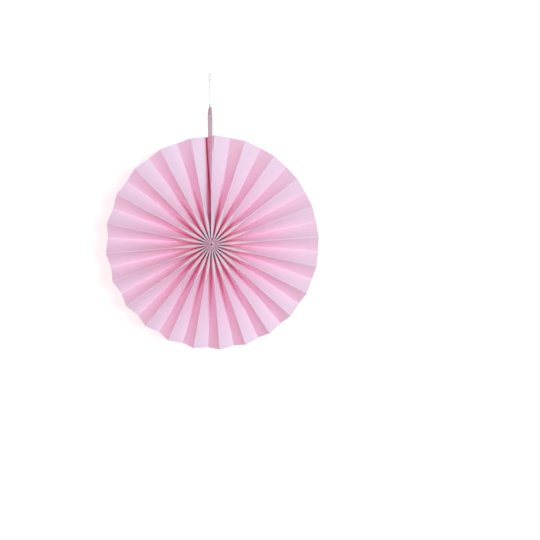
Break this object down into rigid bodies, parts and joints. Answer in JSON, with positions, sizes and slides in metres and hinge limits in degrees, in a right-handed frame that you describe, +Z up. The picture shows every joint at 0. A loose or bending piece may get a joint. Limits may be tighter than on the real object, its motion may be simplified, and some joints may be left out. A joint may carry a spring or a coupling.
{
  "type": "paper fan rosette",
  "caption": "Round pleated paper fan with its ends stuck together on card strips, whose rounded tab hangs it from a short thread loop.",
  "frame": {"origin": "centre of the disc, on its axis in the hole at the hub, half way through the pleats", "axes": "+Z up along the seam and the hanging tab, +Y along the disc's axis from front to back, +X to the right seen from the front"},
  "size_m": [0.2996, 0.025, 0.3861],
  "materials": {
    "pink_paper": "matt dyed paper",
    "end_card": "matt pale pink card",
    "adhesive": "translucent double-sided tape",
    "binding_cotton": "twisted cotton thread",
    "hanging_cotton": "twisted cotton thread"
  },
  "bodies": {
    "root": {"pleated_paper": "pink_paper", "left_end_card": "end_card", "right_end_card": "end_card", "adhesive_strip": "adhesive", "binding_thread": "binding_cotton", "hanging_thread": "hanging_cotton"}
  },
  "joints": []
}
